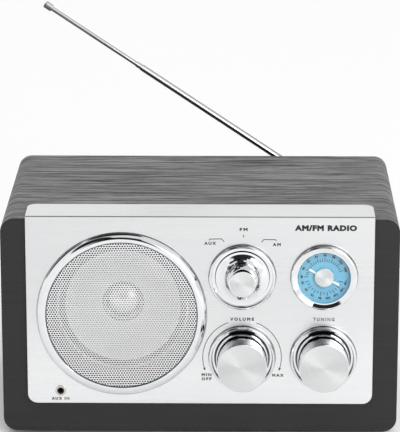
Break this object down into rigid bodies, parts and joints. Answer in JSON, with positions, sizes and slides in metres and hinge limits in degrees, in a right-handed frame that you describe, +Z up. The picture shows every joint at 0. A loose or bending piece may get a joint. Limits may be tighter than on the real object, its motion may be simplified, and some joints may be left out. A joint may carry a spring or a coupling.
{
  "type": "tabletop radio",
  "caption": "Box radio with a dark wood-grain cabinet, folded silver front, round speaker grille, three knobs, a geared round dial and a telescopic rod antenna.",
  "frame": {"origin": "middle of the overall footprint, knobs and antenna fork included, on the surface the feet stand on", "axes": "+Z up, the front with its knobs faces -Y, +X to the right as seen from the front"},
  "size_m": [0.28, 0.2136, 0.2782],
  "materials": {
    "wood_wrap": "dark grey wood-grain vinyl on fibreboard",
    "black_sheet": "black vinyl sheet, faint grain",
    "fibreboard": "bare fibreboard",
    "silver_panel": "silver moulding with fine level brushing",
    "chrome": "bright plated",
    "spun_aluminium": "spun, with a radial sheen",
    "grille_metal": "silver lacquered perforated steel",
    "cone_silver": "silver polypropylene",
    "black_foam": "foam surround",
    "steel": "zinc plated",
    "magnet": "ferrite and plated plates",
    "dial_blue": "light blue printed plate",
    "clear_lens": "clear acrylic window",
    "white_plastic": "white moulding",
    "black_plastic": "black moulding",
    "gear_nylon": "natural nylon",
    "board_green": "glass epoxy board",
    "component": "capacitors, cans and a chip",
    "brass": "turned brass",
    "ferrite": "ferrite",
    "copper_wire": "enamelled wire",
    "lead_red": "flexible insulated lead",
    "rubber_foot": "black rubber",
    "pine": "softwood"
  },
  "bodies": {
    "cabinet": {"cabinet_shell": "wood_wrap", "front_sheet": "black_sheet", "front_baffle": "fibreboard", "front_panel": "silver_panel", "feet": "rubber_foot", "speaker_bezel": "chrome", "speaker_grille": "grille_metal", "speaker_basket": "steel", "speaker_surround": "black_foam", "speaker_cone": "cone_silver", "speaker_dust_cap": "cone_silver", "speaker_magnet": "magnet", "speaker_leads": "lead_red", "selector_bezel": "chrome", "volume_bezel": "chrome", "tuning_bezel": "chrome", "dial_bezel": "chrome", "dial_lens": "clear_lens", "dial_plate": "dial_blue", "control_plate": "steel", "standoffs": "brass", "inner_screws": "steel", "tuning_bush": "brass", "idler_stud": "steel", "volume_control": "steel", "selector_switch": "black_plastic", "tuning_capacitor": "white_plastic", "main_board": "board_green", "board_components": "component", "transformer": "magnet", "ferrite_rod": "ferrite", "ferrite_winding": "copper_wire", "ferrite_holders": "white_plastic", "aux_jack": "black_plastic", "aux_ring": "chrome", "back_cover": "black_plastic", "back_blocks": "pine", "back_screws": "steel", "mains_inlet": "black_plastic", "antenna_bracket": "steel"},
    "volume": {"volume_knob": "chrome", "volume_knob_face": "spun_aluminium", "volume_shaft": "steel"},
    "tuning": {"tuning_knob": "chrome", "tuning_knob_face": "spun_aluminium", "tuning_shaft": "steel"},
    "idler": {"idler_gear": "gear_nylon"},
    "pointer": {"dial_gear": "gear_nylon", "capacitor_shaft": "brass", "pointer_bar": "white_plastic", "pointer_hub": "spun_aluminium"},
    "selector": {"selector_knob": "chrome", "selector_knob_face": "spun_aluminium", "selector_shaft": "steel"},
    "antenna_swivel": {"antenna_base": "chrome"},
    "antenna_arm": {"antenna_foot": "chrome", "antenna_outer_tube": "chrome"},
    "antenna_middle": {"antenna_middle_tube": "chrome"},
    "antenna_end": {"antenna_rod": "chrome", "antenna_tip": "chrome"}
  },
  "joints": [
    {"name": "volume_turn", "type": "hinge", "parent": "cabinet", "child": "volume", "pos_m": [0.0298, -0.0802, 0.0593], "axis": [0, 1, 0], "range_deg": [0, 300]},
    {"name": "tuning_turn", "type": "hinge", "parent": "cabinet", "child": "tuning", "pos_m": [0.08715, -0.0802, 0.0593], "axis": [0, 1, 0], "range_deg": [-90, 420]},
    {"name": "idler_turn", "type": "hinge", "parent": "cabinet", "child": "idler", "pos_m": [0.07834, -0.0612, 0.08162], "axis": [0, 1, 0], "range_deg": [-181, 39.57]},
    {"name": "pointer_turn", "type": "hinge", "parent": "cabinet", "child": "pointer", "pos_m": [0.08715, -0.0612, 0.119], "axis": [0, 1, 0], "range_deg": [-30.5, 140.5]},
    {"name": "selector_turn", "type": "hinge", "parent": "cabinet", "child": "selector", "pos_m": [0.0298, -0.0802, 0.119], "axis": [0, 1, 0], "range_deg": [-30, 30]},
    {"name": "antenna_swing", "type": "hinge", "parent": "cabinet", "child": "antenna_swivel", "pos_m": [0.084, 0.1028, 0.14], "axis": [0, 1, 0], "range_deg": [-33.9, 146.1]},
    {"name": "antenna_tilt", "type": "hinge", "parent": "antenna_swivel", "child": "antenna_arm", "pos_m": [0.084, 0.1028, 0.14], "axis": [-0.5577, 0, -0.83], "range_deg": [0, 90]},
    {"name": "antenna_middle_slide", "type": "slide", "parent": "antenna_arm", "child": "antenna_middle", "axis": [-0.83, 0, 0.5577], "range_m": [-0.0044, 0.1153]},
    {"name": "antenna_end_slide", "type": "slide", "parent": "antenna_middle", "child": "antenna_end", "axis": [-0.83, 0, 0.5577], "range_m": [-0.0761, 0.0436]}
  ],
  "couplings": [
    {"joint": "idler_turn", "follows": "tuning_turn", "ratio": -0.42857},
    {"joint": "pointer_turn", "follows": "tuning_turn", "ratio": 0.33333}
  ]
}
